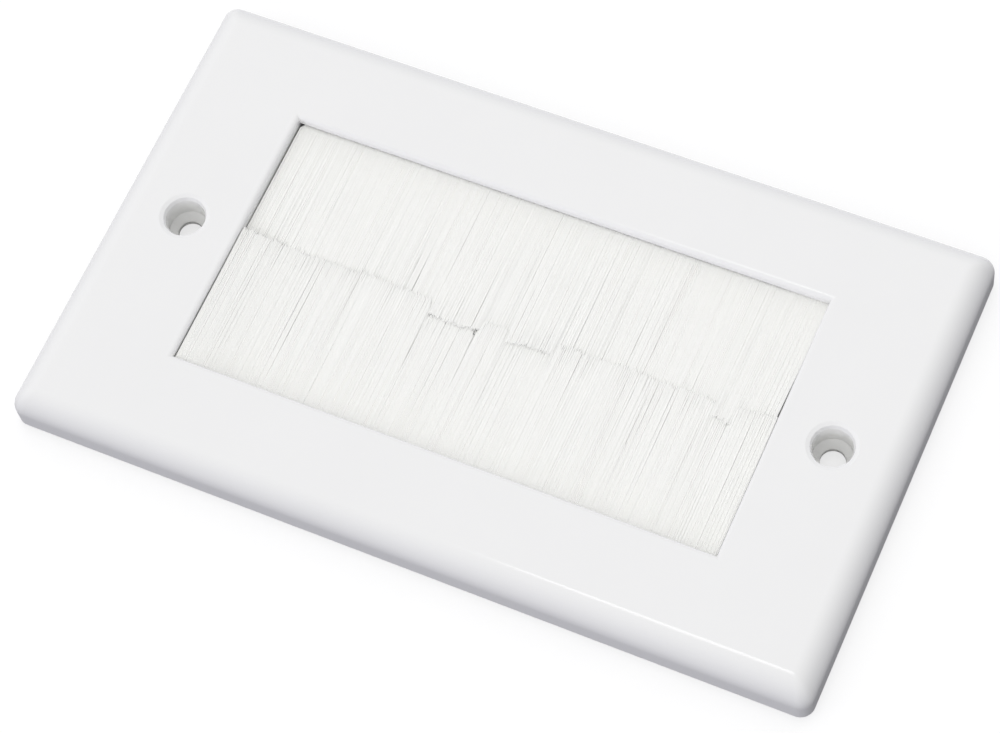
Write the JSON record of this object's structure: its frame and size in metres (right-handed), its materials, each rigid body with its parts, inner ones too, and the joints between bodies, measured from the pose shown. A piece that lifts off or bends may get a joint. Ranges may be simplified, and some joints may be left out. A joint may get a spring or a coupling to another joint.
{
  "type": "brush cable grommet wall plate",
  "caption": "Oblong white wall plate with a rounded rim, sunk screw wells and a wide opening closed by facing strip brushes, so cables pass through a wall without a bare hole.",
  "frame": {"origin": "centre of the plate's rear plane, where its rim meets the wall", "axes": "+X along the plate's long side, +Y across it towards the upper brush, +Z out of the face"},
  "size_m": [0.1466, 0.0868, 0.0087],
  "materials": {
    "white_moulding": "gloss",
    "white_filament": "satin",
    "galvanised_sheet": "galvanised",
    "steel_wire": "drawn",
    "plated_screw": "zinc plated"
  },
  "bodies": {
    "root": {"face_plate": "white_moulding", "upper_brush_channel": "galvanised_sheet", "lower_brush_channel": "galvanised_sheet", "upper_core_wire": "steel_wire", "lower_core_wire": "steel_wire", "upper_bristles": "white_filament", "lower_bristles": "white_filament", "upper_clamp_strip": "galvanised_sheet", "lower_clamp_strip": "galvanised_sheet", "clamp_screws": "plated_screw"}
  },
  "joints": []
}
